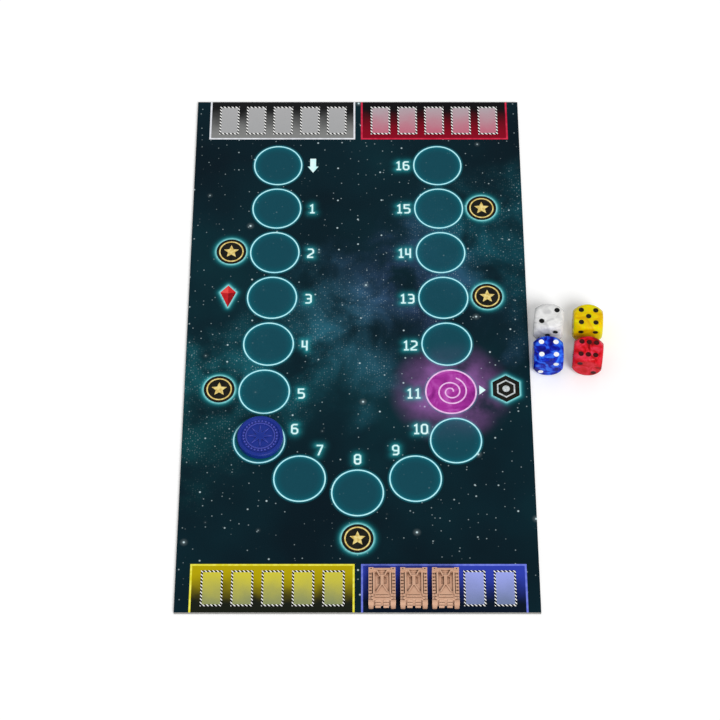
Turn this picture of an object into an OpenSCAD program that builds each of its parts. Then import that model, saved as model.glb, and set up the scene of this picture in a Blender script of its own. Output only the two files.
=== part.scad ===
// Board game expansion set: a printed board, a scoring disc, three tracked vehicles and four dice.
// The origin is on the underside of the board at its centre, with +X to the right, +Y to the
// far end and +Z up. All lengths are in millimetres.

/* [Board] */
// Width of the board
board_w = 188; // [160:1:260]
// Length of the board
board_l = 330; // [240:1:420]
// Thickness of the greyboard core
core_t = 1.6; // [1:0.1:4]
// Thickness of the printed sheet on the face
face_sheet_t = 0.2; // [0.1:0.05:0.5]
// Thickness of the liner on the back
back_sheet_t = 0.2; // [0.1:0.05:0.5]

/* [Scoring disc] */
// Diameter of the disc
disc_d = 24.5; // [20:0.5:40]
// Thickness of the disc over its two rims
disc_t = 4; // [3:0.1:8]
// Width of the flat top of the rim
rim_w = 1.3; // [0.8:0.1:2]
// Bevel on the outer edges of the rim
rim_bevel = 0.45; // [0.1:0.05:0.8]
// Width of the slope from the rim down to the field
rim_slope_w = 0.6; // [0.2:0.1:1]
// Depth of the field below the rim, on both faces
field_depth = 0.7; // [0.3:0.05:1]
// Height of the beads and the star above the field
relief_h = 0.5; // [0.2:0.05:0.8]
// Number of beads round the field
bead_count = 30; // [12:1:32]
// Diameter of a bead
bead_d = 1; // [0.5:0.1:1.2]
// Gap between the beads and what lies on either side of them
bead_gap = 0.45; // [0.2:0.05:0.8]
// Width of the raised ring round the star
star_ring_w = 0.6; // [0.3:0.1:1]
// Number of points of the star
star_points = 8; // [5:1:12]
// Radius of the valleys between the star's points
star_valley_r = 2.1; // [1.5:0.1:2.6]
// Gap between the tips of the star and the ring
star_gap = 0.9; // [0.3:0.1:2]
// Centre of the disc from the left edge of the board
disc_from_left = 42; // [25:0.1:90]
// Centre of the disc from the near edge of the board
disc_from_near = 101.8; // [60:0.1:160]

/* [Tank hull] */
// Length of a tank over all
tank_l = 20.3; // [19:0.1:26]
// Width of a tank over its tracks
tank_w = 13.8; // [13:0.1:17]
// Height of the flat deck
deck_h = 5.4; // [5:0.1:7]
// Clear height under the belly
belly_h = 0.9; // [0.4:0.1:1.5]
// Width of the groove between the hull and a track
hull_groove_w = 0.45; // [0.2:0.05:0.8]
// Depth of that groove below the deck
hull_groove_depth = 1.9; // [1:0.1:2.5]
// Length of the sloping nose plate, seen from above
nose_l = 2.6; // [2.3:0.1:3.4]
// Height of the lower edge of the nose plate
nose_lip_h = 1.7; // [1.2:0.1:2.5]
// How far the nose plate lies behind the front of the bumpers
nose_inset = 1; // [0.5:0.1:1.5]
// Depth of the nose plate below the grille blocks, at the deck
nose_step = 0.6; // [0.5:0.05:1.2]
// Bevel along the edges of the deck and the stern
deck_bevel = 0.3; // [0.1:0.05:0.5]
// Length of the bevel under the nose and the stern
belly_bevel_l = 0.6; // [0.2:0.1:1]
// Height of the bevel under the stern
stern_bevel_h = 1.2; // [0.6:0.1:2]

/* [Tank tracks] */
// Width of a track
track_w = 1.8; // [1.6:0.1:2.2]
// Height of a track
track_h = 5; // [4.4:0.1:5.4]
// Length of a track
track_l = 18.2; // [16:0.1:18.6]
// How far a track ends short of the stern
track_stern_gap = 0.2; // [0.1:0.1:1]
// Gap between a track and the stern block above it
track_top_gap = 0.15; // [0.05:0.05:0.3]
// Pitch of the track links
link_pitch = 1.88; // [1.5:0.02:2.6]
// Gap between two links
link_gap = 0.6; // [0.3:0.05:0.8]
// Height of a link above the belt
link_h = 0.4; // [0.2:0.05:0.6]
// How far a link stands out beside the belt
link_side = 0.2; // [0.1:0.05:0.25]
// Diameter of the holes between the links
link_hole_d = 0.9; // [0.5:0.05:0.9]
// Distance of those holes from the side of the track
link_hole_from_side = 0.75; // [0.75:0.05:0.95]
// Depth of the holes below the top of the belt
link_hole_depth = 1.1; // [0.4:0.1:1.6]
// Number of gaps at the front of the upper run that are cut deeper and have no hole
deep_gaps = 2; // [0:1:3]
// Depth of those gaps
deep_gap_depth = 0.9; // [0.5:0.05:1.2]
// Number of road wheels on each side
wheel_count = 5; // [3:1:6]
// Diameter of a road wheel
wheel_d = 2.5; // [1.8:0.1:2.6]
// Depth of the wheel well in the side of the belt
well_depth = 0.45; // [0.2:0.05:0.7]
// Thickness of the belt round the wheel well
belt_t = 0.6; // [0.4:0.05:0.8]

/* [Tank fittings] */
// How far a bumper stands out beside the track
bumper_side = 0.1; // [0:0.05:0.6]
// Width of a bumper on the nose
bumper_w = 2.7; // [2.2:0.1:3.2]
// Length of a bumper
bumper_l = 3.1; // [2.8:0.1:4.5]
// Height of a bumper
bumper_h = 5.1; // [4.2:0.1:6]
// Radius of the bumper's round upright edges
bumper_r = 0.7; // [0.3:0.05:1]
// Bevel on the back edge of a bumper
bumper_bevel = 0.5; // [0.2:0.05:0.8]
// Length of the sloping brow of a bumper
brow_l = 1.5; // [0.8:0.1:2]
// Height of the brow
brow_h = 1.4; // [0.8:0.1:2]
// How far the foot of the brow lies behind the front of the bumper
brow_inset = 0.4; // [0.1:0.05:0.7]
// Height of the upright chin of a bumper
chin_h = 1.8; // [1:0.1:2.4]
// Gap between the blocks on the nose
nose_gap = 0.85; // [0.3:0.05:1]
// Width of the gap on the middle line of the nose
nose_mid_gap = 1.45; // [0.5:0.05:1.6]
// Height of the grille ribs above the bottom of their grooves
grille_rib_h = 0.5; // [0.2:0.05:0.7]
// Number of ribs on each grille block
grille_ribs = 3; // [2:1:5]
// Width of the grooves between the grille ribs
grille_groove_w = 0.4; // [0.2:0.05:0.5]
// Diameter of the two round knuckles behind each bumper
knuckle_d = 1.35; // [1:0.05:1.5]
// Height of the knuckles above the deck
knuckle_h = 0.3; // [0.1:0.05:0.6]
// Distance between those two knuckles
knuckle_pitch = 1.75; // [1.6:0.05:2.2]
// Width of the ribs on the deck
rib_w = 0.62; // [0.4:0.02:0.8]
// Height of the ribs on the deck
rib_h = 0.6; // [0.3:0.05:0.9]
// Width of the long ridge beside each track
ridge_w = 0.85; // [0.5:0.05:1.1]
// Height of the long ridge above the deck
ridge_h = 0.75; // [0.4:0.05:1]
// Half width of the narrow waist of the deck frame
waist_half_w = 0.8; // [0.6:0.05:1.3]
// Length of the waist
waist_l = 5.8; // [5:0.1:6.4]
// Distance between the waist and the foot of the stern block
funnel_l = 1.4; // [1.1:0.1:2]
// Distance of the lower ends of the funnel ribs from the middle line
funnel_foot_x = 1.5; // [1.2:0.1:1.8]
// Distance of the upper ends of the funnel ribs from the middle line
funnel_end_x = 2.9; // [2.2:0.1:3.3]
// Distance of those ends from the back of the stern
funnel_end_gap = 1.2; // [0.8:0.1:1.6]
// Height of the funnel ribs above the stern block
funnel_rise = 0.15; // [0.05:0.05:0.4]
// Depth of the notch in the stern block between the funnel ribs
notch_depth = 0.85; // [0.4:0.05:1]
// Distance of the feet of the legs from the middle line
leg_foot_x = 3; // [2.2:0.1:3.3]
// Distance of the feet of the legs from the grooves of the bar
leg_foot_gap = 1.6; // [1:0.1:1.9]
// Depth of the pockets beside the waist
pocket_depth = 0.6; // [0.3:0.05:0.9]
// Flat deck between the pockets and the grooves of the bar
pocket_margin = 2; // [1:0.1:2.4]
// Depth of the vent panel in the floor of each pocket
vent_depth = 0.6; // [0.3:0.05:0.9]
// Width of the vent panel
vent_w = 1.5; // [0.6:0.1:1.6]
// Length of the vent panel
vent_l = 3.8; // [2:0.1:4]
// Distance of the vent panel from the back end of the waist
vent_gap = 0.8; // [0.6:0.05:0.9]
// Diameter of the round bar across the deck
bar_d = 1.05; // [0.7:0.05:1.3]
// Width of the grooves on either side of that bar
bar_groove_w = 0.35; // [0.2:0.05:0.5]
// Flat deck between the nose plate and those grooves
bar_margin = 1.3; // [0.4:0.05:1.6]
// Length of the raised block across the stern
stern_l = 2.3; // [2:0.1:2.8]
// Height of the stern block above the deck
stern_h = 1.2; // [0.7:0.05:1.6]
// Length of the slope from the stern block down to the deck
stern_slope_l = 0.6; // [0.3:0.05:0.8]
// Width of the raised corners of the stern block
corner_w = 2.5; // [1.8:0.1:3]
// Length of the raised corners
corner_l = 1.4; // [1:0.1:1.6]
// Height of the raised corners above the stern block
corner_h = 0.35; // [0.2:0.05:0.8]
// Diameter of the hole in each raised corner
corner_hole_d = 0.8; // [0.4:0.05:0.9]
// Depth of that hole
corner_hole_depth = 0.9; // [0.4:0.05:1.2]

/* [Tank row] */
// Gap between the tracks of two tanks of the row
tank_gap = 2.5; // [1.6:0.1:6]
// Left track of the first tank from the middle line of the board
tank_row_from_middle = 5.7; // [1:0.1:14]
// Nose of the tanks from the near edge of the board
tank_row_from_near = 1.9; // [0:0.1:20]

/* [Dice] */
// Side of a die
die_s = 16; // [16:0.5:20]
// Diameter of the sphere that rounds off a die, as a share of its side
die_round_share = 1.36; // [1.34:0.01:1.5]
// Diameter of a pip
pip_d = 3.25; // [1.6:0.05:3.3]
// Depth of a pip
pip_depth = 0.6; // [0.3:0.05:0.9]
// Distance between neighbouring rows of pips
pip_pitch = 3.95; // [3.4:0.05:4]
// How far the paint lies below the face
paint_recess = 0.1; // [0.05:0.05:0.25]
// Clearance between the paint and the wall of the pip
paint_clearance = 0.02; // [0.01:0.01:0.05]
// Gap between the board and the first column of dice
dice_edge_gap = 2.8; // [2:0.1:20]
// Gap between the two columns of dice
dice_column_gap = 5.2; // [3:0.1:20]
// Gap between the two rows of dice
dice_row_gap = 4.4; // [3:0.1:20]
// Middle of the group of dice, from the middle of the board towards the near edge
dice_mid_y = 4.1; // [-80:0.1:80]

/* [Hidden] */
$fn = 48;
over = 0.5;
board_t = back_sheet_t + core_t + face_sheet_t;

// Disc: radii from the rim inwards
disc_r = disc_d / 2;
field_r = disc_r - rim_bevel - rim_w - rim_slope_w;
bead_ring_r = field_r - bead_gap - bead_d / 2;
star_ring_r = bead_ring_r - bead_d / 2 - bead_gap;
star_tip_r = star_ring_r - star_ring_w - star_gap;

// Tank: places across, from the middle line
track_x = tank_w / 2 - track_w;
hull_half_w = track_x - hull_groove_w;
ridge_x = hull_half_w - ridge_w / 2;
pocket_x = hull_half_w - ridge_w;
bumper_x = tank_w / 2 + bumper_side - bumper_w;
grille_w = bumper_x - nose_gap - nose_mid_gap / 2;

// Tank: places along, from the middle
nose_y = -tank_l / 2;
stern_y = tank_l / 2;
deck_front_y = nose_y + nose_l;
deck_back_y = stern_y - stern_l;
track_y = stern_y - track_stern_gap - track_l / 2;
nose_rise = deck_h - nose_lip_h;
nose_angle = atan2(nose_rise, nose_l);
grille_l = norm([nose_rise, nose_l]);

// Tank: the deck, from the bar across it to the stern
bar_y = deck_front_y + bar_margin + bar_groove_w + bar_d / 2;
bar_back_y = bar_y + bar_d / 2 + bar_groove_w;
ridge_front_y = bar_back_y + ridge_w / 2;
stern_foot_y = deck_back_y + stern_slope_l;
waist_back_y = deck_back_y - funnel_l;
waist_front_y = waist_back_y - waist_l;
funnel_in = [funnel_foot_x, waist_back_y - rib_w / 2];
funnel_out = [funnel_end_x, stern_y - funnel_end_gap];
leg_top = [waist_half_w, waist_front_y + rib_w / 4];
leg_foot = [leg_foot_x, bar_back_y + leg_foot_gap];
leg_way = (leg_foot - leg_top) / norm(leg_foot - leg_top);
leg_side = rib_w / 2 * [leg_way.y, -leg_way.x];
leg_in = leg_top + leg_side - rib_w * leg_way;
leg_out = leg_foot + leg_side;
deck_floor_h = deck_h - pocket_depth;

// Dice
die_names = ["white", "yellow", "blue", "red"];
die_colours = ["whitesmoke", "gold", "royalblue", "crimson"];
pip_colours = ["black", "black", "white", "maroon"];
die_top = [2, 5, 4, 6];
die_front = [3, 4, 2, 2];
die_right = [1, 1, 1, 4];
die_mirror_front = [false, false, false, true];
die_turn = [-6, -2.4, -0.8, -6.6];
die_shift = [[0, 0.4], [0.2, 0], [-1.2, -0.1], [-0.8, -0.2]];
pip_r = (pow(pip_d / 2, 2) + pow(pip_depth, 2)) / (2 * pip_depth);

// Board

module board_layer(z, t) {
    translate([-board_w / 2, -board_l / 2, z]) cube([board_w, board_l, t]);
}

module board_core() {
    color("lightgray") board_layer(back_sheet_t, core_t);
}

module board_face_sheet() {
    color("darkslategray") board_layer(back_sheet_t + core_t, face_sheet_t);
}

module board_back_sheet() {
    color("dimgray") board_layer(0, back_sheet_t);
}

// Scoring disc

// Half section of the disc, turned about its axis: bevelled rims and a sunk field on each face
module disc_section() {
    polygon([
        [0, field_depth],
        [field_r, field_depth],
        [field_r + rim_slope_w, 0],
        [disc_r - rim_bevel, 0],
        [disc_r, rim_bevel],
        [disc_r, disc_t - rim_bevel],
        [disc_r - rim_bevel, disc_t],
        [field_r + rim_slope_w, disc_t],
        [field_r, disc_t - field_depth],
        [0, disc_t - field_depth]
    ]);
}

module star_outline() {
    polygon([
        for (i = [0 : 2 * star_points - 1])
            let (r = i % 2 == 0 ? star_tip_r : star_valley_r, a = 90 + i * 180 / star_points)
            r * [cos(a), sin(a)]
    ]);
}

// Beads, a ring and a star, raised from the upper field
module disc_relief() {
    for (i = [0 : bead_count - 1])
        rotate(i * 360 / bead_count) translate([bead_ring_r, 0]) cylinder(d = bead_d, h = relief_h + over);
    difference() {
        cylinder(r = star_ring_r, h = relief_h + over);
        translate([0, 0, -over]) cylinder(r = star_ring_r - star_ring_w, h = relief_h + 3 * over);
    }
    linear_extrude(relief_h + over) star_outline();
}

module scoring_disc() {
    color("mediumblue")
        translate([disc_from_left - board_w / 2, disc_from_near - board_l / 2, board_t]) {
            rotate_extrude() disc_section();
            translate([0, 0, disc_t - field_depth - over]) disc_relief();
        }
}

// Tank

// A straight rib between two points of the deck
module deck_rib(p, q, w) {
    d = q - p;
    translate(p) rotate(atan2(d.y, d.x)) translate([0, -w / 2]) square([norm(d), w]);
}

// Puts a side outline, drawn as [along, up], across the tank from x to x + w
module across(x, w) {
    translate([x, 0, 0]) rotate([90, 0, 90]) linear_extrude(w) children();
}

module both_sides() {
    children();
    mirror([1, 0, 0]) children();
}

// Side outline of a track: straight runs with half round ends, drawn in from the outer face
module track_outline(inset) {
    r = track_h / 2 - inset;
    half = (track_l - track_h) / 2;
    translate([track_y - half, track_h / 2 - r]) square([2 * half, 2 * r]);
    for (s = [-1, 1]) translate([track_y + s * half, track_h / 2]) circle(r = r);
}

// Gaps between the links: the top and bottom runs, and round each end
run_links = floor((track_l - track_h) / link_pitch);
end_links = round(PI * track_h / 2 / link_pitch);
first_hole = deep_gaps - run_links / 2;

module link_gaps() {
    x = track_x - over;
    w = track_w + 2 * over;
    for (i = [-run_links / 2 : run_links / 2], top = [0, 1]) {
        depth = top == 1 && i < first_hole ? deep_gap_depth : link_h;
        translate([x, track_y + i * link_pitch - link_gap / 2, top * track_h - depth])
            cube([w, link_gap, 2 * depth]);
    }
    for (s = [-1, 1], i = [0 : end_links - 1])
        translate([x, track_y + s * (track_l - track_h) / 2, track_h / 2])
            rotate([s * (-90 + (i + 0.5) * 180 / end_links), 0, 0])
            translate([0, s * (track_h / 2 - link_h), -link_gap / 2])
            translate([0, s > 0 ? 0 : -2 * link_h, 0]) cube([w, 2 * link_h, link_gap]);
}

module wheel_well() {
    x = tank_w / 2 - link_side - well_depth;
    half = (track_l - track_h) / 2;
    difference() {
        across(x, well_depth + over) track_outline(link_h + belt_t);
        for (i = [0 : wheel_count - 1])
            translate([x - over, track_y - half + i * 2 * half / (wheel_count - 1), track_h / 2])
            rotate([0, 90, 0]) cylinder(d = wheel_d, h = well_depth + over);
    }
}

module track() {
    difference() {
        union() {
            across(track_x, track_w - link_side) track_outline(link_h);
            difference() {
                across(track_x, track_w) track_outline(0);
                link_gaps();
            }
        }
        wheel_well();
        for (i = [first_hole : run_links / 2])
            translate([tank_w / 2 - link_hole_from_side, track_y + i * link_pitch,
                       track_h - link_h - link_hole_depth])
            cylinder(d = link_hole_d, h = link_hole_depth + link_h + over);
    }
}

// Side outline of the hull: belly, sloping nose plate, deck and the raised block at the stern
module hull_outline() {
    polygon([
        [nose_y + nose_inset + belly_bevel_l, belly_h],
        [nose_y + nose_inset, nose_lip_h],
        [deck_front_y, deck_h - nose_step],
        [deck_front_y, deck_h - deck_bevel],
        [deck_front_y + deck_bevel, deck_h],
        [deck_back_y, deck_h],
        [deck_back_y + stern_slope_l, deck_h + stern_h],
        [stern_y - deck_bevel, deck_h + stern_h],
        [stern_y, deck_h + stern_h - deck_bevel],
        [stern_y, belly_h + stern_bevel_h],
        [stern_y - belly_bevel_l, belly_h]
    ]);
}

module stern_outline() {
    intersection() {
        hull_outline();
        translate([deck_back_y, track_h + track_top_gap]) square([stern_l, deck_h + stern_h]);
    }
}

module sponson_outline() {
    intersection() {
        hull_outline();
        translate([nose_y, 0]) square([tank_l, deck_h - hull_groove_depth]);
    }
}

module bumper() {
    intersection() {
        across(bumper_x, bumper_w) polygon([
            [nose_y, 0],
            [nose_y + bumper_l, 0],
            [nose_y + bumper_l, bumper_h - bumper_bevel],
            [nose_y + bumper_l - bumper_bevel, bumper_h],
            [nose_y + brow_l, bumper_h],
            [nose_y + brow_inset, bumper_h - brow_h],
            [nose_y, chin_h]
        ]);
        translate([bumper_x, nose_y, 0]) linear_extrude(bumper_h) {
            translate([bumper_r, 0]) square([bumper_w - 2 * bumper_r, bumper_l]);
            translate([0, bumper_r]) square([bumper_w, bumper_l - bumper_r]);
            for (x = [bumper_r, bumper_w - bumper_r]) translate([x, bumper_r]) circle(r = bumper_r);
        }
    }
}

// Grille block on the nose: a sloping body with a row of ribs across it
module grille() {
    rib_l = (grille_l - (grille_ribs - 1) * grille_groove_w) / grille_ribs;
    across(nose_mid_gap / 2, grille_w) difference() {
        polygon([
            [nose_y + deck_bevel, belly_h],
            [nose_y, belly_h + deck_bevel],
            [nose_y, nose_lip_h],
            [deck_front_y, deck_h],
            [deck_front_y + over, deck_h],
            [deck_front_y + over, belly_h]
        ]);
        translate([nose_y, nose_lip_h]) rotate(nose_angle)
            for (i = [1 : grille_ribs - 1])
                translate([i * (rib_l + grille_groove_w) - grille_groove_w, -grille_rib_h])
                square([grille_groove_w, grille_rib_h + over]);
    }
}

// Recess between the deck frame and the long ridge, with a vent panel in its floor
module pocket() {
    front_y = bar_back_y + pocket_margin;
    translate([0, 0, deck_floor_h]) linear_extrude(pocket_depth + over) intersection() {
        polygon([
            [0, waist_back_y - rib_w / 2], leg_in, leg_out, [ridge_x, leg_out.y],
            [ridge_x, funnel_out.y], funnel_out, funnel_in
        ]);
        translate([0, front_y]) square([ridge_x, deck_back_y - front_y]);
    }
    translate([0, waist_back_y - vent_gap - vent_l, deck_floor_h - vent_depth])
        cube([waist_half_w + vent_w, vent_l, vent_depth + over]);
}

// Notch in the stern block between the funnel ribs
module notch() {
    translate([0, 0, deck_h + stern_h - notch_depth]) linear_extrude(notch_depth + over)
        polygon([[0, funnel_in.y], funnel_in, funnel_out, [0, funnel_out.y]]);
}

// Grooves on either side of the bar: the front one full width, the back one between the legs
module bar_grooves() {
    for (groove = [[bar_y - bar_d / 2 - bar_groove_w, pocket_x], [bar_y + bar_d / 2, leg_foot_x]])
        translate([-over, groove[0], deck_h - bar_groove_w])
            cube([groove[1] + over, bar_groove_w, bar_groove_w + over]);
}

// Waist of the deck frame with a crosspiece at its back end, and the leg that spreads from its front
module deck_frame_half() {
    translate([0, waist_front_y]) square([waist_half_w, waist_l]);
    translate([0, waist_back_y - rib_w]) square([funnel_foot_x + rib_w / 4, rib_w]);
    deck_rib(leg_in, leg_out, rib_w);
}

module ridge_half() {
    translate([ridge_x, ridge_front_y]) circle(d = ridge_w);
    deck_rib([ridge_x, ridge_front_y], [ridge_x, stern_foot_y], ridge_w);
}

// Two round knuckles that close the groove behind each bumper
module knuckles() {
    h = hull_groove_depth + knuckle_h;
    knuckle_y = nose_y + bumper_l + 0.35 * knuckle_d;
    for (i = [0, 1])
        translate([track_x - hull_groove_w / 2, knuckle_y + i * knuckle_pitch, deck_h + knuckle_h - h])
        cylinder(d = knuckle_d, h = h);
}

// Hull with its stern block, raised stern corners and everything that is cut into them
module hull_half() {
    corner_top = deck_h + stern_h + corner_h;
    difference() {
        union() {
            across(0, hull_half_w) hull_outline();
            across(0, tank_w / 2) stern_outline();
            translate([tank_w / 2 - corner_w, stern_y - corner_l, deck_h])
                cube([corner_w, corner_l, stern_h + corner_h]);
        }
        pocket();
        notch();
        bar_grooves();
        translate([tank_w / 2 - corner_w / 2, stern_y - corner_l / 2, corner_top - corner_hole_depth])
            cylinder(d = corner_hole_d, h = corner_hole_depth + over);
    }
}

module tank_half() {
    track();
    bumper();
    grille();
    knuckles();
    hull_half();
    across(0, track_x + over) sponson_outline();
    translate([0, 0, deck_floor_h - vent_depth]) {
        linear_extrude(vent_depth + pocket_depth + rib_h) deck_frame_half();
        linear_extrude(vent_depth + pocket_depth + ridge_h) ridge_half();
        linear_extrude(vent_depth + pocket_depth + stern_h + funnel_rise)
            deck_rib(funnel_in, funnel_out, rib_w);
    }
    translate([0, bar_y, deck_h]) rotate([0, 90, 0]) cylinder(d = bar_d, h = pocket_x);
}

module tank(i) {
    x = tank_row_from_middle + tank_w / 2 + i * (tank_w + tank_gap);
    y = tank_row_from_near + tank_l / 2 - board_l / 2;
    color("burlywood") translate([x, y, board_t]) both_sides() tank_half();
}

// Dice

// Places of the pips on a face, in steps of the pip pitch
function pip_spots(n, mirrored) = let (d = mirrored ? -1 : 1) concat(
    n % 2 == 1 ? [[0, 0]] : [],
    n >= 2 ? [[d, 1], [-d, -1]] : [],
    n >= 4 ? [[-d, 1], [d, -1]] : [],
    n == 6 ? [[0, 1], [0, -1]] : []
);

// Each face of a die as its number, the turn that points it outwards and whether it is mirrored
function die_faces(i) = [
    [die_top[i], [0, 0, 0], false],
    [7 - die_top[i], [180, 0, 0], false],
    [die_front[i], [90, 0, 0], die_mirror_front[i]],
    [7 - die_front[i], [90, 0, 180], false],
    [die_right[i], [90, 0, 90], false],
    [7 - die_right[i], [90, 0, -90], false]
];

module at_each_pip(i) {
    for (face = die_faces(i), spot = pip_spots(face[0], face[2]))
        rotate(face[1]) translate([spot.x * pip_pitch, spot.y * pip_pitch, die_s / 2]) children();
}

// Cube rounded off by a sphere, which leaves a round flat on each side
module rounded_cube() {
    intersection() {
        cube(die_s, center = true);
        sphere(d = die_s * die_round_share);
    }
}

module place_die(i) {
    column = i % 2;
    row = floor(i / 2);
    x = board_w / 2 + dice_edge_gap + die_s / 2 + column * (die_s + dice_column_gap);
    y = -dice_mid_y + (0.5 - row) * (die_s + dice_row_gap);
    translate([x + die_shift[i].x, y + die_shift[i].y, die_s / 2]) rotate(die_turn[i]) children();
}

module die(i) {
    color(die_colours[i]) place_die(i) difference() {
        rounded_cube();
        at_each_pip(i) translate([0, 0, pip_r - pip_depth]) sphere(r = pip_r);
    }
}

module die_pips(i) {
    color(pip_colours[i]) place_die(i) at_each_pip(i) intersection() {
        translate([0, 0, pip_r - pip_depth]) sphere(r = pip_r - paint_clearance);
        translate([0, 0, -paint_recess - pip_depth]) cube(2 * pip_depth * [pip_d, pip_d, 1], center = true);
    }
}

board_core();
board_face_sheet();
board_back_sheet();
scoring_disc();
tank(0);  // tank_1
tank(1);  // tank_2
tank(2);  // tank_3
die(0);  // die_white
die_pips(0);  // die_white_pips
die(1);  // die_yellow
die_pips(1);  // die_yellow_pips
die(2);  // die_blue
die_pips(2);  // die_blue_pips
die(3);  // die_red
die_pips(3);  // die_red_pips
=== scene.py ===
"""Looks of the board game expansion set: the print of the board and the finish of every piece."""
import math

import bpy
import numpy as np
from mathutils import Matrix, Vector

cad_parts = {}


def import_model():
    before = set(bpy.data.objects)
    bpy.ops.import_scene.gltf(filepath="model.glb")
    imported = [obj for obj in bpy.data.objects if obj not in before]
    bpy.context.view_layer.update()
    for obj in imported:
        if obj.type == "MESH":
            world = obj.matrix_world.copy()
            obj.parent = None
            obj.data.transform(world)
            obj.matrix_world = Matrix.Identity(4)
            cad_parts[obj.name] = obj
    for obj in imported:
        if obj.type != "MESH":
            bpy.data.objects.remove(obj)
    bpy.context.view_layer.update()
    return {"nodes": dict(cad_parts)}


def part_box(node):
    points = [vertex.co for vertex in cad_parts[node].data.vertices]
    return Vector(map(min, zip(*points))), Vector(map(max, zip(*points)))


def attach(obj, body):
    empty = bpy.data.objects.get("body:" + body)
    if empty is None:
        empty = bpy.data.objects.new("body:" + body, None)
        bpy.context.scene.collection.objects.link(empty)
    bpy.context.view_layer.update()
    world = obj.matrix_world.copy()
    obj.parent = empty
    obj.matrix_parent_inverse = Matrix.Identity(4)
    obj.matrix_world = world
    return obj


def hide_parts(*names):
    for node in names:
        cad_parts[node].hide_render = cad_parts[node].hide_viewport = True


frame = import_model()
nodes = frame["nodes"]

MM = 0.001


def middle(node):
    """Centre of a CAD node seen from above, in millimetres."""
    low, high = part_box(node)
    return Vector(((low.x + high.x) / 2, (low.y + high.y) / 2)) / MM


# Places and sizes of the print, in millimetres from the centre of the board.
# Where there are two, -1 is the left side or the near end and 1 the right side or the far end.

sheet_low, sheet_high = (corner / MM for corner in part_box("board_face_sheet"))
HALF_W = sheet_high.x
HALF_L = sheet_high.y

INK_T = 0.03
INK_LEVELS = 3
SHEET_TOP = sheet_high.z - INK_LEVELS * INK_T
SHEET_CELL = 1.0

SPACE_COUNT = 17
SPACE_R = 13.62
SPACE_LINE = 0.7
LAST_OF_COLUMN = 6
TRACK_TOP_X = 46.0
TRACK_TOP_Y = 118.6
TRACK_BOTTOM_Y = -95.7
DISC_OFF_CENTRE = Vector((0.7, 0.8))
PORTAL = 11
PORTAL_LINE = 1.2 * SPACE_LINE
SPIRAL_LINE = 0.8

NUMERAL_H = 6.4
NUMERAL_W = 3.9
NUMERAL_LINE = 0.9
NUMERAL_GAP = 0.4
NUMERAL_FROM_SPACE = 20.2
NUMERAL_CHAMFER = 0.8
NUMERAL_WAIST = 0.4

BAY_FROM_MIDDLE = {-1: 2.0, 1: 2.35}
BAY_FROM_SIDE = {-1: 8.0, 1: 7.0}
BAY_DEPTH = 27.0
BAY_LINE = 1.0
GROUND_FADE_START = 9.5
SLOT_FADE_START = 5.0
BAY_FADE_END = BAY_DEPTH + 3.0
SLOT_COUNT = 5
SLOT_PITCH = 15.7
SLOT_W = 11.4
SLOT_L = 20.3
SLOT_FROM_END = 3.5
SLOT_SHIFT = {-1: 0.3, 1: 0.0}
SLOT_LINE = 1.0

# Stripes on each side of a slot, a little coarser at the far end so that they show from afar
STRIPES_ACROSS = {-1: 5.5, 1: 5.0}
STRIPES_ALONG = {-1: 10.25, 1: 9.25}
STRIPE_SHARE = {-1: 0.36, 1: 0.42}

ICON_R = 8.4
ICON_FROM_SPACE = 24.5
LAST_MEDAL_DROP = 27.0
MEDAL_RING_R = 0.78 * ICON_R
MEDAL_LINE = 0.75
MEDAL_STAR_R = 0.52 * ICON_R
BADGE_FROM_SPACE = 30.0
BADGE_SIDES = 6
BADGE_TURN = math.pi / 6
BADGE_RING_R = 0.62 * ICON_R
BADGE_LINE = 0.8
BADGE_DOT_R = 0.24 * ICON_R
GEM_HALF = Vector((4.4, 7.2))
GEM_SHOULDER = 0.35
GEM_CROWN = 0.36
POINTER_FROM_SPACE = 17.0

NUMERAL_GLOW = 0.7
NUMERAL_GLOW_REACH = 6.0
ICON_GLOW = 1.0
ICON_GLOW_REACH = 5.0
GLOW_FALL = 2.4

CIRCLE_STEPS = 96
ICON_STEPS = 48
DOT_STEPS = 24


# Colours

def srgb(red, green, blue):
    """Screen values from 0 to 255 as the linear colour that a shader takes."""
    def linear(value):
        value /= 255
        return value / 12.92 if value <= 0.04045 else ((value + 0.055) / 1.055) ** 2.4
    return (linear(red), linear(green), linear(blue), 1.0)


def grey(level):
    """A grey as the linear colour that a shader takes, with 1 for white."""
    return (level, level, level, 1.0)


# Shader nodes

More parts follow.
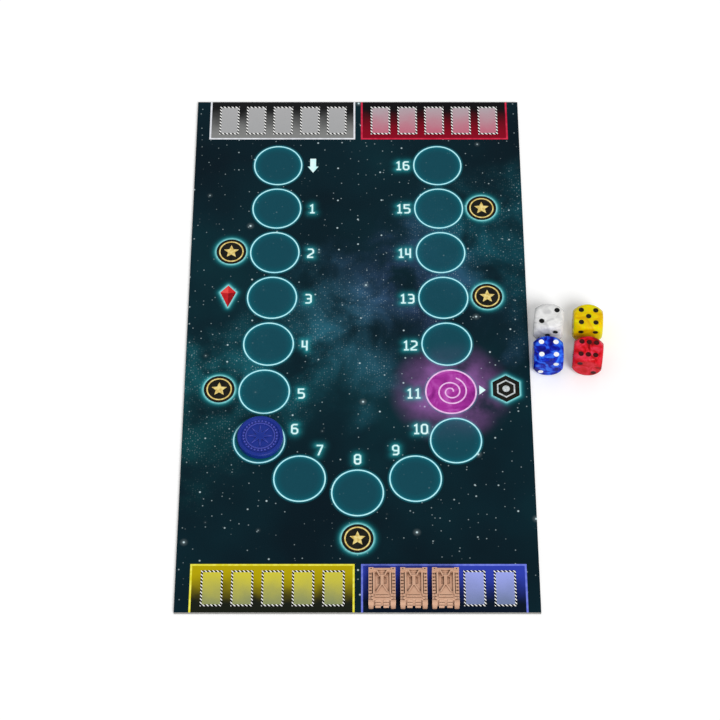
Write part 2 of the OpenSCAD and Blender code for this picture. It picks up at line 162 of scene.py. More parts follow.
class Shader:
    """A material being made: adds nodes and links them, a socket or a plain value for each input."""

    def __init__(self, name):
        self.material = bpy.data.materials.new(name)
        self.material.use_nodes = True
        self.tree = self.material.node_tree
        self.bsdf = self.tree.nodes["Principled BSDF"]

    def set(self, node, inputs):
        for key, value in inputs.items():
            if isinstance(value, bpy.types.NodeSocket):
                self.tree.links.new(value, node.inputs[key])
            else:
                node.inputs[key].default_value = value

    def add(self, kind, inputs, **settings):
        node = self.tree.nodes.new("ShaderNode" + kind)
        for key, value in settings.items():
            setattr(node, key, value)
        self.set(node, inputs)
        return node

    def surface(self, **inputs):
        """Sets inputs of the Principled shader, with spaces in their names written as _."""
        self.set(self.bsdf, {key.replace("_", " "): value for key, value in inputs.items()})
        return self.material

    def place(self):
        """Position on the piece in millimetres."""
        here = self.add("TexCoord", {}).outputs["Object"]
        return self.add("VectorMath", {0: here, "Scale": 1 / MM}, operation="SCALE").outputs[0]

    def math(self, operation, first, second=0.0):
        return self.add("Math", {0: first, 1: second}, operation=operation).outputs[0]

    def attribute(self, name):
        return self.add("Attribute", {}, attribute_name=name).outputs["Fac"]

    def noise(self, place, size, detail=2.0, distortion=0.0):
        """Soft noise from 0 to 1 with features of about that size."""
        made = self.add("TexNoise", {
            "Vector": place, "Scale": 1 / size, "Detail": detail, "Distortion": distortion})
        return made.outputs["Fac"]

    def fade(self, value, start, end, low=0.0, high=1.0):
        """Smooth step of value from low at start to high at end."""
        made = self.add("MapRange", {
            "Value": value, "From Min": start, "From Max": end, "To Min": low, "To Max": high},
            interpolation_type="SMOOTHSTEP")
        return made.outputs[0]

    def ramp(self, value, stops):
        """Colour ramp through (place, colour) stops."""
        made = self.add("ValToRGB", {"Fac": value})
        elements = made.color_ramp.elements
        while len(elements) < len(stops):
            elements.new(1.0)
        for element, (at, colour) in zip(elements, stops):
            element.position = at
            element.color = colour
        return made.outputs["Color"]

    def mix(self, factor, first, second, blend="MIX"):
        made = self.add("Mix", {0: factor, 6: first, 7: second}, data_type="RGBA", blend_type=blend)
        return made.outputs[2]

    def bump(self, height, strength, depth):
        made = self.add("Bump", {"Height": height, "Strength": strength, "Distance": depth * MM})
        return made.outputs[0]


# Inks of the print

PRINT_GLOSS = 0.05
PAPER_GRAIN = 0.35
PAPER_GRAIN_SHARE = 0.14
VARNISH_PATCH = 9.0
BAY_WISP = 9.0
BAY_WISP_REACH = 10.0


def printed(name, make_colour):
    """Varnished print on grained paper, in the colour that make_colour(shader, place) gives."""
    shader = Shader(name)
    place = shader.place()
    grain = shader.noise(place, PAPER_GRAIN, detail=3.0)
    patches = shader.noise(place, VARNISH_PATCH)
    colour = make_colour(shader, place)
    grain_tone = shader.ramp(grain, [(0.3, srgb(96, 96, 96)), (0.7, srgb(200, 200, 200))])
    return shader.surface(
        Base_Color=shader.mix(PAPER_GRAIN_SHARE, colour, grain_tone, "SOFT_LIGHT"),
        Roughness=shader.fade(patches, 0.3, 0.7, low=0.46, high=0.56),
        Specular_IOR_Level=PRINT_GLOSS,
        Normal=shader.bump(grain, strength=0.15, depth=0.02))


def ink(name, low, high, size=2.5):
    """Print in one colour that wavers between two close tones."""
    def colour(shader, place):
        return shader.ramp(shader.noise(place, size, detail=3.0), [(0.35, low), (0.65, high)])
    return printed(name, colour)


def bay_ink(name, inner, outer, start):
    """Print of a bay: its outer tone up to a start from the end of the board, then its inner tone."""
    def colour(shader, place):
        along = shader.add("SeparateXYZ", {0: place}).outputs["Y"]
        depth = shader.math("SUBTRACT", HALF_L, shader.math("ABSOLUTE", along))
        wisps = shader.math("MULTIPLY", shader.noise(place, BAY_WISP, detail=6.0), BAY_WISP_REACH)
        fall = shader.fade(shader.math("ADD", depth, wisps), start, BAY_FADE_END)
        return shader.mix(fall, outer, inner)
    return printed(name, colour)


# Sky on the face of the board

BAND_SHIFT = (0.0, -12.0, 0.0)
BAND_TURN = (0.0, 0.0, math.radians(-33))
BAND_HALF = 56.0
BAND_HALF_LENGTH = 130.0
BAND_WANDER = 130.0
CLOUD_SHARE = 0.85
DUST_SHARE = 0.4
SMALL_STAR_SHARE = 0.45
LARGE_STAR_SHARE = 0.85

AURA_REACH = 22.0
AURA_INNER = -2.0
AURA_SHARE = 0.58
FILL_SHARE = 0.86
EDGE_SOFTNESS = 0.2
RING_GLOW_REACH = 1.7
RING_GLOW_SHARE = 0.34


def star_layer(shader, place, cell, radius, share, halo=0.0):
    """Round stars, at most one in a cell: a share of them is lit, most faintly and a few brightly."""
    spots = shader.add("TexVoronoi", {"Vector": place, "Scale": 1 / cell}, voronoi_dimensions="2D")
    chance = shader.add("SeparateColor", {0: spots.outputs["Color"]}).outputs[0]
    lit = shader.math("POWER", shader.fade(chance, share, 0.0), 1.8)
    size = shader.fade(lit, 0.0, 1.0, low=0.55 * radius / cell, high=radius / cell)
    ratio = shader.math("DIVIDE", spots.outputs["Distance"], size)
    disc = shader.fade(ratio, 1.0, 0.15)
    if halo:
        disc = shader.math("ADD", disc, shader.fade(ratio, 3.2, 0.0, high=halo))
    return shader.math("MULTIPLY", disc, lit)


def backdrop(shader, place):
    """Night sky of the face: dark teal, a band of cloud from the near left to the far right, and stars."""
    band_place = shader.add("Mapping", {"Vector": place, "Location": BAND_SHIFT, "Rotation": BAND_TURN})
    axes = shader.add("SeparateXYZ", {0: band_place.outputs[0]})
    billows = shader.noise(place, 60.0, detail=5.0, distortion=0.6)
    wander = shader.math("MULTIPLY", shader.math("SUBTRACT", billows, 0.5), BAND_WANDER)
    across = shader.math("ABSOLUTE", shader.math("ADD", axes.outputs["Y"], wander))
    band = shader.fade(across, BAND_HALF, 0.0)
    wisps = shader.noise(place, 26.0, detail=8.0, distortion=0.4)
    cloud = shader.math("MULTIPLY", band, shader.fade(wisps, 0.32, 0.72))
    sky = shader.ramp(shader.noise(place, 85.0, detail=3.0), [
        (0.35, srgb(3, 22, 31)), (0.55, srgb(5, 34, 43)), (0.72, srgb(8, 46, 54))])
    along = shader.add("MapRange", {
        "Value": axes.outputs["X"], "From Min": -BAND_HALF_LENGTH, "From Max": BAND_HALF_LENGTH})
    tint = shader.ramp(along.outputs[0], [
        (0.0, srgb(14, 84, 88)), (0.35, srgb(30, 106, 120)), (0.52, srgb(52, 108, 132)),
        (0.66, srgb(70, 92, 140)), (0.85, srgb(24, 96, 112)), (1.0, srgb(14, 76, 88))])
    sky = shader.mix(shader.math("MULTIPLY", cloud, CLOUD_SHARE), sky, tint)

    dust = shader.math("MULTIPLY", star_layer(shader, place, cell=1.3, radius=0.42, share=0.9), cloud)
    small = star_layer(shader, place, cell=4.8, radius=0.52, share=0.6)
    large = star_layer(shader, place, cell=12.0, radius=0.75, share=0.85)
    light = star_layer(shader, place, cell=31.0, radius=0.85, share=0.7, halo=0.12)
    for stars, share in ((large, LARGE_STAR_SHARE), (small, SMALL_STAR_SHARE), (dust, DUST_SHARE)):
        light = shader.math("ADD", light, shader.math("MULTIPLY", stars, share))
    return shader.mix(shader.math("MINIMUM", light, 1.0), sky, srgb(214, 236, 240))


def face_colour(shader, place):
    """Backdrop with the filled spaces of the track and the glow round the print."""
    sky = backdrop(shader, place)
    portal = shader.attribute("portal_edge")
    aura = shader.fade(portal, AURA_REACH, AURA_INNER, high=AURA_SHARE)
    puffs = shader.fade(shader.noise(place, 16.0, detail=6.0), 0.2, 0.75)
    sky = shader.mix(shader.math("MULTIPLY", aura, puffs), sky, srgb(186, 120, 206))

    rim = shader.attribute("space_edge")
    inside = shader.fade(rim, EDGE_SOFTNESS, -EDGE_SOFTNESS, high=FILL_SHARE)
    fill = shader.mix(shader.fade(rim, -5.0, -0.5), srgb(20, 76, 90), srgb(15, 88, 102))
    sky = shader.mix(inside, sky, fill)
    ring_glow = shader.fade(shader.math("ABSOLUTE", rim), RING_GLOW_REACH, 0.3, high=RING_GLOW_SHARE)
    sky = shader.mix(ring_glow, sky, srgb(40, 158, 176))
    swirl = shader.noise(place, 9.0, detail=4.0, distortion=1.2)
    pool = shader.ramp(swirl, [
        (0.3, srgb(132, 30, 126)), (0.52, srgb(168, 52, 158)), (0.72, srgb(196, 96, 190))])
    sky = shader.mix(shader.fade(portal, EDGE_SOFTNESS, -EDGE_SOFTNESS), sky, pool)

    for name in ("icon_glow", "numeral_glow"):
        strength = shader.attribute(name)
        tone = shader.ramp(strength, [
            (0.1, srgb(18, 110, 120)), (0.45, srgb(38, 152, 160)), (0.85, srgb(150, 240, 242))])
        sky = shader.mix(strength, sky, tone)
    return sky


# Flat shapes of the print

class Film:
    """Closed flat shapes of one ink, made into one piece. Level 1 lies on the sheet, 2 and 3 above it."""

    def __init__(self, level):
        self.top = (SHEET_TOP + level * INK_T) * MM
        self.bottom = self.top - INK_T * MM
        self.vertices = []
        self.faces = []

    def corners(self, points):
        """Adds upper and lower corners for each point and returns the numbers of the upper ones."""
        first = len(self.vertices)
        for x, y in points:
            self.vertices.append((x * MM, y * MM, self.top))
            self.vertices.append((x * MM, y * MM, self.bottom))
        return [first + 2 * i for i in range(len(points))]

    def polygon(self, points):
        """A shape inside one outline."""
        turns = sum(a[0] * b[1] - b[0] * a[1] for a, b in zip(points, points[1:] + points[:1]))
        upper = self.corners(points if turns > 0 else points[::-1])
        self.faces.append(upper)
        self.faces.append([i + 1 for i in reversed(upper)])
        for i, j in zip(upper, upper[1:] + upper[:1]):
            self.faces.append([j, i, i + 1, j + 1])

    def stroke(self, points, width, closed=False):
        """A line of that width along points, with mitred corners."""
        left, right = (self.corners(side) for side in stroke_sides(points, width, closed))
        count = len(points)
        for i in range(count if closed else count - 1):
            j = (i + 1) % count
            self.faces.append([right[i], right[j], left[j], left[i]])
            self.faces.append([left[i] + 1, left[j] + 1, right[j] + 1, right[i] + 1])
            self.faces.append([left[i], left[j], left[j] + 1, left[i] + 1])
            self.faces.append([right[j], right[i], right[i] + 1, right[j] + 1])
        if not closed:
            self.faces.append([left[0], left[0] + 1, right[0] + 1, right[0]])
            self.faces.append([right[-1], right[-1] + 1, left[-1] + 1, left[-1]])

    def piece(self, name, material):
        new_piece(name, self.vertices, self.faces, material)


def stroke_sides(points, width, closed):
    """The two edges of a line along points."""
    points = [Vector(p) for p in points]
    left, right = [], []
    for i, here in enumerate(points):
        before = points[i - 1] if closed or i > 0 else None
        after = points[(i + 1) % len(points)] if closed or i + 1 < len(points) else None
        into = (here - before if before else after - here).normalized()
        out = (after - here if after else here - before).normalized()
        normal = Vector((-into.y, into.x))
        mitre = (normal + Vector((-out.y, out.x))).normalized()
        reach = mitre * (width / 2 / max(mitre.dot(normal), 0.5))
        left.append(here + reach)
        right.append(here - reach)
    return left, right


def new_piece(name, vertices, faces, material):
    """A printed piece that rides on the board."""
    mesh = bpy.data.meshes.new(name)
    mesh.from_pydata([tuple(v) for v in vertices], [], faces)
    mesh.materials.append(material)
    piece = bpy.data.objects.new(name, mesh)
    bpy.context.scene.collection.objects.link(piece)
    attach(piece, "board")
    return piece


def circle(centre, radius, steps=CIRCLE_STEPS, start=0.0):
    """Points round a circle, which with few steps is a regular polygon."""
    turns = [start + 2 * math.pi * i / steps for i in range(steps)]
    return [(centre[0] + radius * math.cos(a), centre[1] + radius * math.sin(a)) for a in turns]


def star(centre, radius, points=5, waist=0.45):
    """Outline of a star that points up."""
    outline = []
    for i in range(2 * points):
        reach = radius if i % 2 == 0 else radius * waist
        turn = math.pi / 2 + math.pi * i / points
        outline.append((centre[0] + reach * math.cos(turn), centre[1] + reach * math.sin(turn)))
    return outline


def moved(points, by):
    return [(x + by[0], y + by[1]) for x, y in points]


# Track: two columns that spread towards the near end and an arc that joins them

def track():
    """Centres of the spaces, from the start round to the last."""
    foot = middle("scoring_disc") - DISC_OFF_CENTRE
    spread = -foot.x - TRACK_TOP_X
    column = []
    for i in range(LAST_OF_COLUMN + 1):
        share = i / LAST_OF_COLUMN
        x = -TRACK_TOP_X - spread * share ** 2
        y = TRACK_TOP_Y + (foot.y - TRACK_TOP_Y) * share
        column.append(Vector((x, y)))
    drop = foot.y - TRACK_BOTTOM_Y
    radius = (foot.x ** 2 + drop ** 2) / (2 * drop)
    centre_y = TRACK_BOTTOM_Y + radius
    turn = math.atan2(-foot.x, centre_y - foot.y)
    half_count = (SPACE_COUNT - 1) // 2 - LAST_OF_COLUMN
    arc = []
    for i in range(1 - half_count, half_count):
        angle = turn * i / half_count
        arc.append(Vector((radius * math.sin(angle), centre_y - radius * math.cos(angle))))
    return column + arc + [Vector((-p.x, p.y)) for p in reversed(column)]


spaces = track()


def inward(i):
    """Direction across the track at a space, to the inner side."""
    before = spaces[max(i - 1, 0)]
    after = spaces[min(i + 1, SPACE_COUNT - 1)]
    along = (after - before).normalized()
    return Vector((-along.y, along.x))


def beside(i, distance):
    """Point beside a space, on the inner side, or on the outer side with a distance below 0."""
    return spaces[i] + inward(i) * distance


# Numerals, drawn as lines between the corners of a narrow box

def digit_lines(digit):
    """Lines of a digit as (points, closed), round its centre."""
    half = NUMERAL_LINE / 2
    x = NUMERAL_W / 2 - half
    y = NUMERAL_H / 2 - half
    c = NUMERAL_CHAMFER
    waist = NUMERAL_WAIST
    stem, bar = 0.9, -0.7
    foot = [(x, c - y), (x - c, -y)]
    head = [(x - c, y), (x, y - c)]
    belly = [(x - c, waist), (x, waist - c)] + foot
    ring = [(c - x, y)] + head + foot + [(c - x, -y), (-x, c - y), (-x, y - c)]
    bowl = [(-x, waist)] + belly + [(c - x, -y), (-x, c - y)]
    hook = [(-x, waist + half), (-x, y - c), (c - x, y), (x, y)]
    shapes = {
        0: [(ring, True)],
        1: [([(-1.1, y - 0.9), (0.1, y), (0.1, half - y)], False), ([(-1.2, -y), (1.4, -y)], False)],
        2: [([(-x, y)] + head + [(x, c / 2), (-x, c - y), (-x, -y), (x, -y)], False)],
        3: [([(-x, y)] + head + foot + [(-x, -y)], False), ([(-0.7, 0), (x - half, 0)], False)],
        4: [([(stem, y + half), (stem, -y - half)], False),
            ([(-x, y + half), (-x, bar), (stem - half, bar)], False)],
        5: [([(x, y), (-x, y), (-x, waist)] + belly + [(-x, -y)], False)],
        6: [(bowl, True), (hook, False)],
        7: [([(-x, y), (x, y), (x, y - 0.5), (-0.6, -y - half)], False)],
        8: [(ring, True), ([(half - x, 0), (x - half, 0)], False)],
    }
    if digit == 9:
        return [([(-a, -b) for a, b in points], closed) for points, closed in shapes[6]]
    return shapes[digit]


def numeral_lines():
    """Lines of every numeral, beside its space."""
    lines = []
    for i in range(1, SPACE_COUNT):
        digits = [int(sign) for sign in str(i)]
        centre = beside(i, NUMERAL_FROM_SPACE)
        for place, digit in enumerate(digits):
            shift = (place - (len(digits) - 1) / 2) * (NUMERAL_W + NUMERAL_GAP)
            for points, closed in digit_lines(digit):
                lines.append((moved(points, (centre.x + shift, centre.y)), closed))
    return lines


# Icons

MEDAL_PLACES = [beside(i, -ICON_FROM_SPACE) for i in (2, 5, 13, 15)]
MEDAL_PLACES.append(Vector((0.0, TRACK_BOTTOM_Y - LAST_MEDAL_DROP)))
GEM_PLACE = beside(3, -ICON_FROM_SPACE)
BADGE_PLACE = beside(PORTAL, -BADGE_FROM_SPACE)
POINTER_PLACE = beside(PORTAL, -POINTER_FROM_SPACE)
ARROW_PLACE = beside(0, NUMERAL_FROM_SPACE)


def gem_corners():
    """Corners of the gem: top, right, bottom and left."""
    x, y = GEM_HALF
    return [GEM_PLACE + Vector(p) for p in ((0, y), (x, GEM_SHOULDER * y), (0, -y), (-x, GEM_SHOULDER * y))]


def arrow_outline():
    """Arrow that points from the start into the track."""
    half_l, half_head, half_shaft, neck = 5.0, 3.1, 1.7, -0.6
    return moved([
        (-half_shaft, half_l), (half_shaft, half_l), (half_shaft, neck), (half_head, neck),
        (0, -half_l), (-half_head, neck), (-half_shaft, neck)], ARROW_PLACE)


def pointer_outline():
    """Triangle that points from the space with the spiral to the badge."""
    back, tip, half_w = -1.6, 1.9, 2.9
    return moved([(back, half_w), (tip, 0), (back, -half_w)], POINTER_PLACE)


def badge_outline(radius):
    return circle(BADGE_PLACE, radius, BADGE_SIDES, BADGE_TURN)


def spiral(centre, turns=2.2, inner=1.2, outer=9.0, steps=60):
    """Points of a spiral that widens steadily."""
    points = []
    for i in range(steps + 1):
        share = i / steps
        angle = 2 * math.pi * turns * share
        reach = inner + (outer - inner) * share
        points.append((centre[0] + reach * math.cos(angle), centre[1] + reach * math.sin(angle)))
    return points


# Printed sheet

def distance_to_lines(grid, lines):
    """Distance of each grid point from the nearest of the lines."""
    nearest = np.full(len(grid), np.inf)
    for points, closed in lines:
        ends = points[1:] + points[:1] if closed else points[1:]
        for a, b in zip(np.array(points, float), np.array(ends, float)):
            step = b - a
            share = np.clip((grid - a) @ step / (step @ step), 0, 1)
            nearest = np.minimum(nearest, np.linalg.norm(grid - a - share[:, None] * step, axis=1))
    return nearest


def glow(distance, reach, strength):
    return strength * np.clip(1 - distance / reach, 0, 1) ** GLOW_FALL


def icon_lines():
    """Outlines of the icons, as lines that glow."""
    outlines = [circle(p, ICON_R, DOT_STEPS) for p in MEDAL_PLACES]
    outlines.append(badge_outline(ICON_R))
    outlines.append([tuple(p) for p in gem_corners()])
    return [(outline, True) for outline in outlines]


def printed_sheet():
    """The sheet on the face, as a grid that carries the glow of the print at its points."""
    columns = round(2 * HALF_W / SHEET_CELL) + 1
    rows = round(2 * HALF_L / SHEET_CELL) + 1
    across, along = np.meshgrid(
        np.linspace(-HALF_W, HALF_W, columns), np.linspace(-HALF_L, HALF_L, rows))
    grid = np.stack([across.ravel(), along.ravel()], 1)
    upper = [(x * MM, y * MM, SHEET_TOP * MM) for x, y in grid]
    faces = []
    for r in range(rows - 1):
        for c in range(columns - 1):
            first = r * columns + c
            faces.append([first, first + 1, first + columns + 1, first + columns])
    border = list(range(columns))
    border += [r * columns + columns - 1 for r in range(1, rows)]
    border += [(rows - 1) * columns + c for c in range(columns - 2, -1, -1)]
    border += [r * columns for r in range(rows - 2, 0, -1)]
    lower = [(upper[i][0], upper[i][1], sheet_low.z * MM) for i in border]
    below = {i: len(upper) + k for k, i in enumerate(border)}
    for i, j in zip(border, border[1:] + border[:1]):
        faces.append([j, i, below[i], below[j]])
    faces.append([below[i] for i in reversed(border)])

    sheet = new_piece("face_sheet_printed", upper + lower, faces, printed("board_print", face_colour))
    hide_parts("board_face_sheet")
    points = np.concatenate([grid, grid[border]])
    centres = np.array([tuple(p) for p in spaces])
    edges = np.linalg.norm(points[:, None, :] - centres[None], axis=2) - SPACE_R
    from_numerals = distance_to_lines(points, numeral_lines())
    from_icons = distance_to_lines(points, icon_lines())
    fields = {
        "space_edge": edges.min(1),
        "portal_edge": edges[:, PORTAL],
        "numeral_glow": glow(from_numerals, NUMERAL_GLOW_REACH, NUMERAL_GLOW),
        "icon_glow": glow(from_icons, ICON_GLOW_REACH, ICON_GLOW),
    }
    for name, values in fields.items():
        field = sheet.data.attributes.new(name, "FLOAT", "POINT")
        field.data.foreach_set("value", values.astype(np.float32))


def printed_track():
    """Outlines of the spaces, their numerals, the arrow at the start and the spiral in one space."""
    lines = Film(1)
    for i, centre in enumerate(spaces):
        if i != PORTAL:
            lines.stroke(circle(centre, SPACE_R), SPACE_LINE, closed=True)
    lines.piece("space_outlines", ink("space_line_ink", srgb(172, 242, 255), srgb(198, 252, 255)))

    portal = Film(1)
    portal.stroke(circle(spaces[PORTAL], SPACE_R), PORTAL_LINE, closed=True)
    portal.stroke(spiral(spaces[PORTAL]), SPIRAL_LINE)
    portal.piece("portal_outline", ink("portal_line_ink", srgb(232, 176, 230), srgb(248, 208, 246)))

    numerals = Film(1)
    for points, closed in numeral_lines():
        numerals.stroke(points, NUMERAL_LINE, closed)
    numerals.polygon(arrow_outline())
    numerals.polygon(pointer_outline())
    numerals.piece("numerals", ink("numeral_ink", srgb(206, 252, 253), srgb(234, 255, 255)))


def printed_icons():
    """Medals with a star, a badge and a cut gem, beside some spaces."""
    dark, gold, stone = Film(1), Film(2), Film(2)
    for place in MEDAL_PLACES:
        dark.polygon(circle(place, ICON_R, ICON_STEPS))
        gold.stroke(circle(place, MEDAL_RING_R, ICON_STEPS), MEDAL_LINE, closed=True)
        gold.polygon(star(place, MEDAL_STAR_R))
    dark.polygon(badge_outline(ICON_R))
    dark.piece("icon_grounds", ink("icon_ground_ink", srgb(20, 20, 18), srgb(34, 32, 26)))
    gold.piece("medal_stars", ink("gold_ink", srgb(206, 176, 92), srgb(246, 226, 150), size=1.6))

    stone.stroke(badge_outline(BADGE_RING_R), BADGE_LINE, closed=True)
    stone.polygon(circle(BADGE_PLACE, BADGE_DOT_R, DOT_STEPS))
    stone.piece("badge_marks", ink("silver_ink", srgb(170, 178, 180), srgb(222, 228, 228), size=1.2))

    top, right, bottom, left = gem_corners()
    crown = top + (bottom - top) * GEM_CROWN
    facets = {
        "light": ([top, crown, left], srgb(226, 74, 70), srgb(240, 84, 80)),
        "middle": ([top, right, crown], srgb(204, 40, 42), srgb(218, 50, 52)),
        "deep": ([left, crown, bottom], srgb(184, 28, 34), srgb(198, 38, 44)),
        "dark": ([crown, right, bottom], srgb(138, 16, 24), srgb(152, 26, 34)),
    }
    for name, (facet, low, high) in facets.items():
        film = Film(1)
        film.polygon([tuple(p) for p in facet])
        film.piece("gem_facet_" + name, ink("gem_ink_" + name, low, high, size=1.5))


# Bays with slots at the two ends of the board: two tones of the line, then inner and outer tones

BAYS = {
    "white": {
        "side": -1, "end": 1,
        "line": (srgb(214, 216, 222), srgb(238, 240, 246)),
        "ground": (srgb(132, 133, 132), srgb(22, 23, 24)),
        "slots": (srgb(168, 169, 170), srgb(174, 174, 175)),
    },
    "red": {
        "side": 1, "end": 1,
        "line": (srgb(196, 30, 62), srgb(218, 54, 84)),
        "ground": (srgb(136, 8, 32), srgb(12, 10, 14)),
        "slots": (srgb(194, 110, 130), srgb(178, 168, 174)),
    },
    "yellow": {
        "side": -1, "end": -1,
        "line": (srgb(226, 218, 44), srgb(246, 240, 96)),
        "ground": (srgb(184, 166, 4), srgb(24, 28, 20)),
        "slots": (srgb(212, 202, 62), srgb(132, 142, 104)),
    },
    "blue": {
        "side": 1, "end": -1,
        "line": (srgb(104, 118, 222), srgb(126, 140, 236)),
        "ground": (srgb(50, 66, 178), srgb(6, 20, 36)),
        "slots": (srgb(160, 170, 240), srgb(112, 126, 160)),
    },
}


def bay_outline(side, end):
    """Corners of the line round a bay, from the end of the board and back to it."""
    near = side * BAY_FROM_MIDDLE[side]
    far = side * (HALF_W - BAY_FROM_SIDE[side])
    inner = end * (HALF_L - BAY_DEPTH)
    return [(near, end * HALF_L), (near, inner), (far, inner), (far, end * HALF_L)]


def rectangle(left, right, low, high):
    return [(left, low), (right, low), (right, high), (left, high)]


def cut_along_slant(points, limit, side):
    """Part of a convex outline where x + y lies below the limit (side 1) or above it (side -1)."""
    kept = []
    for a, b in zip(points, points[1:] + points[:1]):
        rest_a = side * (limit - a[0] - a[1])
        rest_b = side * (limit - b[0] - b[1])
        if rest_a >= 0:
            kept.append(a)
        if rest_a * rest_b < 0:
            share = rest_a / (rest_a - rest_b)
            kept.append((a[0] + (b[0] - a[0]) * share, a[1] + (b[1] - a[1]) * share))
    return kept


def slot_stripes(film, left, low, end):
    """Slanting stripes along the four sides of a slot, worked out with a stripe and its gap as the unit."""
    wide, high = STRIPES_ACROSS[end], STRIPES_ALONG[end]
    unit_x, unit_y = SLOT_W / wide, SLOT_L / high
    line_x, line_y = SLOT_LINE / unit_x, SLOT_LINE / unit_y
    sides = [
        rectangle(0, line_x, 0, high),
        rectangle(wide - line_x, wide, 0, high),
        rectangle(line_x, wide - line_x, 0, line_y),
        rectangle(line_x, wide - line_x, high - line_y, high),
    ]
    for side in sides:
        for start in range(math.ceil(wide + high)):
            stripe = cut_along_slant(cut_along_slant(side, start + STRIPE_SHARE[end], 1), start, -1)
            if len(stripe) > 2:
                film.polygon([(left + x * unit_x, low + y * unit_y) for x, y in stripe])


def printed_bays():
    """A ground, an outline and five striped slots for each player's colour."""
    borders, stripes = Film(2), Film(3)
    for name, bay in BAYS.items():
        side, end = bay["side"], bay["end"]
        ground, line, fills = Film(1), Film(2), Film(3)
        outline = bay_outline(side, end)
        ground.polygon(outline)
        ground.piece(f"bay_{name}_ground", bay_ink(f"bay_{name}_ink", *bay["ground"], GROUND_FADE_START))
        line.stroke(outline, BAY_LINE)
        line.piece(f"bay_{name}_line", ink(f"bay_{name}_line_ink", *bay["line"]))
        middle_x = SLOT_SHIFT[side] + side * (BAY_FROM_MIDDLE[side] + HALF_W - BAY_FROM_SIDE[side]) / 2
        y = end * (HALF_L - SLOT_FROM_END - SLOT_L / 2)
        low, high = y - SLOT_L / 2, y + SLOT_L / 2
        for k in range(SLOT_COUNT):
            x = middle_x + (k - (SLOT_COUNT - 1) / 2) * SLOT_PITCH
            left, right = x - SLOT_W / 2, x + SLOT_W / 2
            borders.polygon(rectangle(left, right, low, high))
            fills.polygon(rectangle(
                left + SLOT_LINE, right - SLOT_LINE, low + SLOT_LINE, high - SLOT_LINE))
            slot_stripes(stripes, left, low, end)
        fills.piece(f"bay_{name}_slots", bay_ink(f"slot_{name}_ink", *bay["slots"], SLOT_FADE_START))
    borders.piece("slot_borders", ink("slot_border_ink", srgb(2, 2, 4), srgb(8, 8, 10)))
    stripes.piece("slot_stripes", ink("slot_stripe_ink", srgb(250, 250, 246), srgb(255, 255, 254)))


# Finishes of the CAD pieces

EDGE_SAMPLES = 8
LAYER_STRETCH = (0.6, 0.6, 9.0)
DIE_EDGE_R = 1.4
DIE_SCATTER_DEPTH = 8.0

# Blue disc: deep is painted shade in its recesses, and the edge tone is a painted highlight on its raised
# relief.
DISC_PLASTIC = {
    "deep": srgb(6, 14, 78), "body": srgb(18, 42, 132), "pale": srgb(30, 54, 150),
    "edge": srgb(104, 110, 214), "roughness": 0.3, "gloss": 0.18, "reach": 1.2, "edge_wear_and_highlight_reach": 0.9,
}
# Tan tanks: deep is painted shade in their recesses, and the edge tone is partly wear and partly a painted
# highlight.
TANK_PLASTIC = {
    "deep": srgb(104, 66, 46), "body": srgb(202, 157, 129), "pale": srgb(220, 181, 154),
    "edge": srgb(232, 197, 171), "roughness": 0.42, "gloss": 0.3, "reach": 1.8, "edge_wear_and_highlight_reach": 0.45,
}
DICE = {
    "white": {
        "stops": [(0.36, srgb(208, 208, 208)), (0.5, srgb(230, 230, 229)), (0.64, srgb(247, 247, 246))],
        "size": 6.5, "swirl": 2.2, "scatter": 1.0,
        "paint": ("black_enamel", srgb(4, 4, 4), srgb(14, 14, 14)),
    },
    "yellow": {
        "stops": [(0.36, srgb(222, 172, 0)), (0.48, srgb(238, 204, 0)), (0.56, srgb(226, 214, 2)),
                  (0.66, srgb(252, 230, 20))],
        "size": 8.0, "swirl": 1.4, "scatter": 0.7,
        "paint": ("brown_black_enamel", srgb(20, 12, 2), srgb(38, 26, 4)),
    },
    "blue": {
        "stops": [(0.38, srgb(2, 4, 116)), (0.46, srgb(8, 26, 178)), (0.51, srgb(28, 84, 226)),
                  (0.6, srgb(58, 126, 250)), (0.72, srgb(98, 156, 255))],
        "size": 8.0, "swirl": 2.2, "scatter": 0.4,
        "paint": ("white_enamel", srgb(240, 242, 248), srgb(254, 254, 255)),
    },
    "red": {
        "stops": [(0.38, srgb(142, 0, 6)), (0.46, srgb(206, 6, 18)), (0.53, srgb(220, 28, 46)),
                  (0.64, srgb(232, 58, 84))],
        "size": 8.0, "swirl": 2.0, "scatter": 0.4,
        "paint": ("dark_red_enamel", srgb(42, 3, 3), srgb(70, 8, 8)),
    },
}


def finish(node, material):
    slots = nodes[node].data.materials
    slots.clear()
    slots.append(material)


def greyboard():
    """Raw cut board: pressed fibres in layers along the edge."""
    shader = Shader("greyboard_cut_edge")
    place = shader.place()
    layers = shader.add("VectorMath", {0: place, 1: LAYER_STRETCH}, operation="MULTIPLY").outputs[0]
    fibres = shader.noise(layers, 1.1, detail=5.0, distortion=0.5)
    specks = shader.noise(place, 0.25)
    colour = shader.ramp(fibres, [
        (0.28, srgb(132, 130, 125)), (0.5, srgb(178, 177, 173)), (0.75, srgb(202, 201, 197))])
    colour = shader.mix(shader.fade(specks, 0.62, 0.75, high=0.5), colour, srgb(120, 114, 104))
    return shader.surface(
        Base_Color=colour,
        Roughness=0.92,
        Specular_IOR_Level=0.15,
        Normal=shader.bump(fibres, strength=0.6, depth=0.12))


def liner():
    """Plain matt liner on the back."""
    shader = Shader("liner_paper")
    place = shader.place()
    fibres = shader.noise(place, 0.5, detail=5.0, distortion=0.4)
    clouds = shader.noise(place, 22.0, detail=3.0)
    colour = shader.ramp(clouds, [(0.35, srgb(36, 40, 44)), (0.65, srgb(46, 50, 54))])
    colour = shader.mix(shader.fade(fibres, 0.5, 0.8, high=0.3), colour, srgb(74, 78, 82))
    return shader.surface(
        Base_Color=colour,
        Roughness=shader.fade(fibres, 0.3, 0.7, low=0.72, high=0.86),
        Specular_IOR_Level=0.25,
        Normal=shader.bump(fibres, strength=0.3, depth=0.05))


